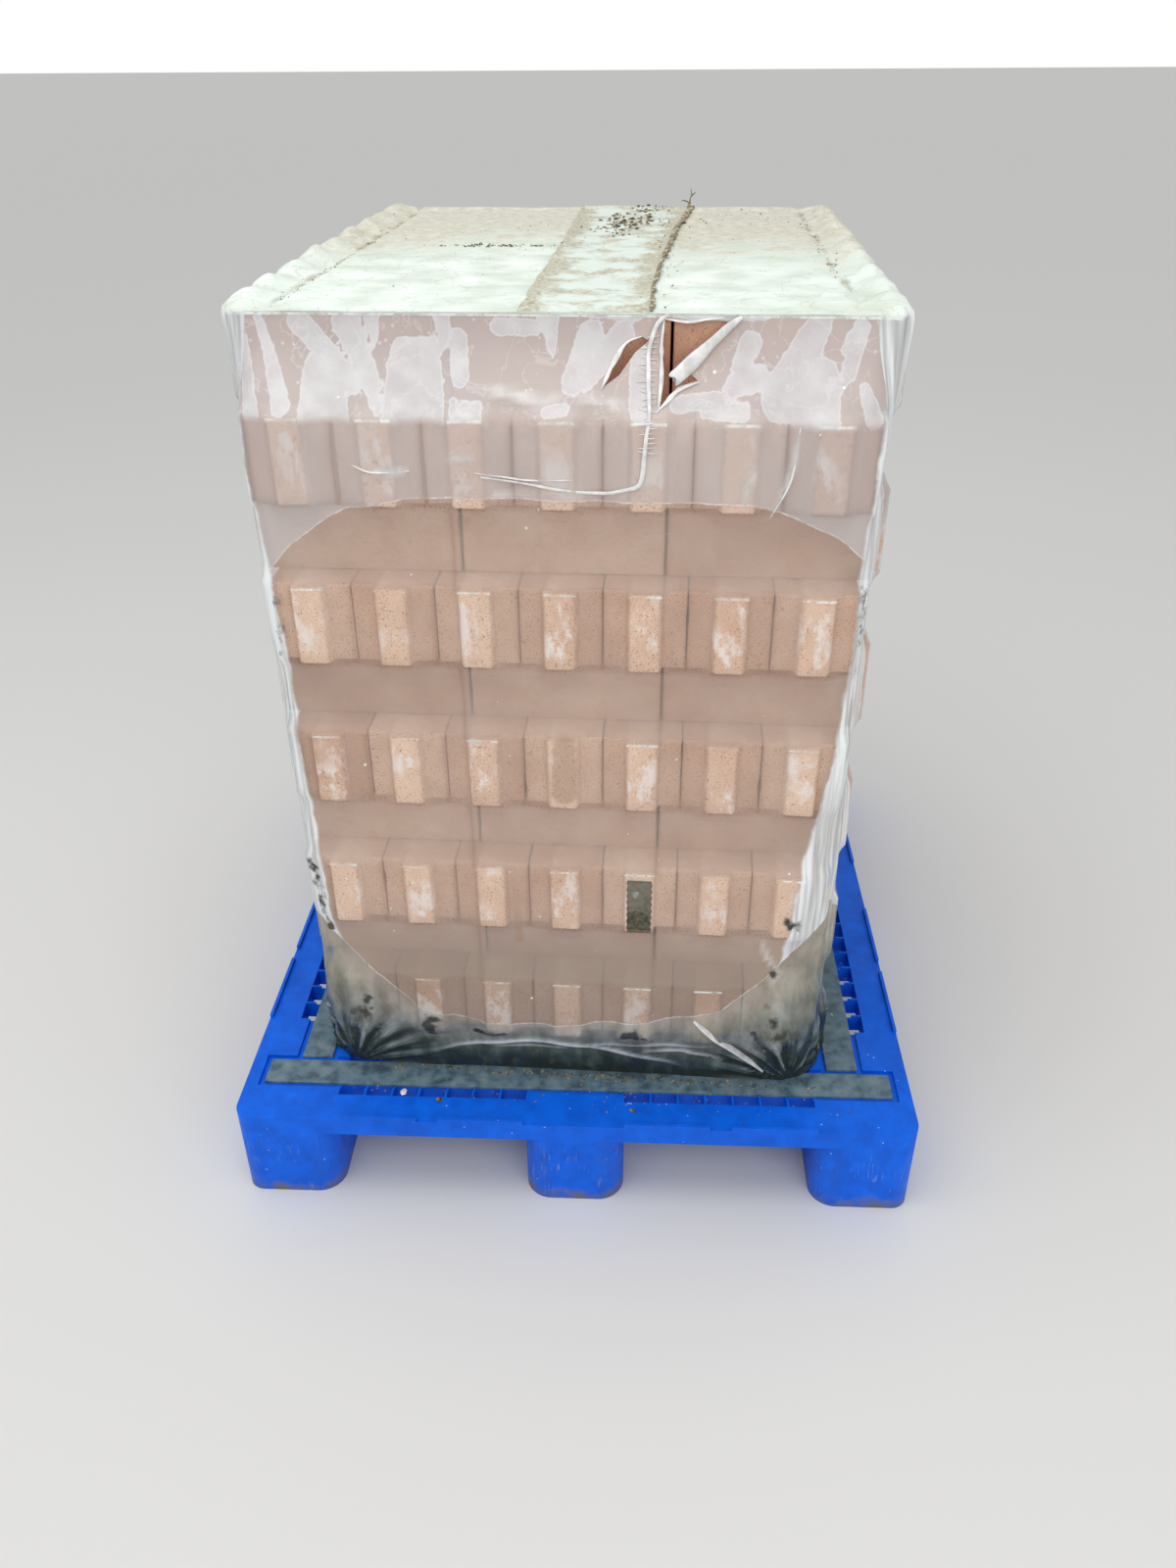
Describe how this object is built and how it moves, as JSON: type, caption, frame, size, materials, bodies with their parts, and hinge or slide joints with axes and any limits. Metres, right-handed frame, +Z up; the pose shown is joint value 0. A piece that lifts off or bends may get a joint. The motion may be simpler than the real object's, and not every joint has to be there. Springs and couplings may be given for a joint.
{
  "type": "pallet of bricks",
  "caption": "Low plastic pallet on moulded feet carrying a square stack of tongued clay bricks in crossed rows, under a worn clear shrink hood.",
  "frame": {"origin": "on the ground under the middle of the pallet", "axes": "+Z up, -Y towards the front face of the load, +X to the right seen from the front"},
  "size_m": [1, 1.2, 1.2465],
  "materials": {
    "clay": "matte",
    "blue_plastic": "satin",
    "grey_rubber": "matte",
    "film": "satin"
  },
  "bodies": {
    "root": {"plastic_pallet": "blue_plastic", "front_strip": "grey_rubber", "back_strip": "grey_rubber", "left_strip": "grey_rubber", "right_strip": "grey_rubber", "brick_row_01": "clay", "brick_row_02": "clay", "brick_row_03": "clay", "brick_row_04": "clay", "brick_row_05": "clay", "brick_row_06": "clay", "brick_row_07": "clay", "brick_row_08": "clay", "brick_row_09": "clay", "brick_row_10": "clay", "brick_row_11": "clay", "shrink_hood": "film"}
  },
  "joints": []
}
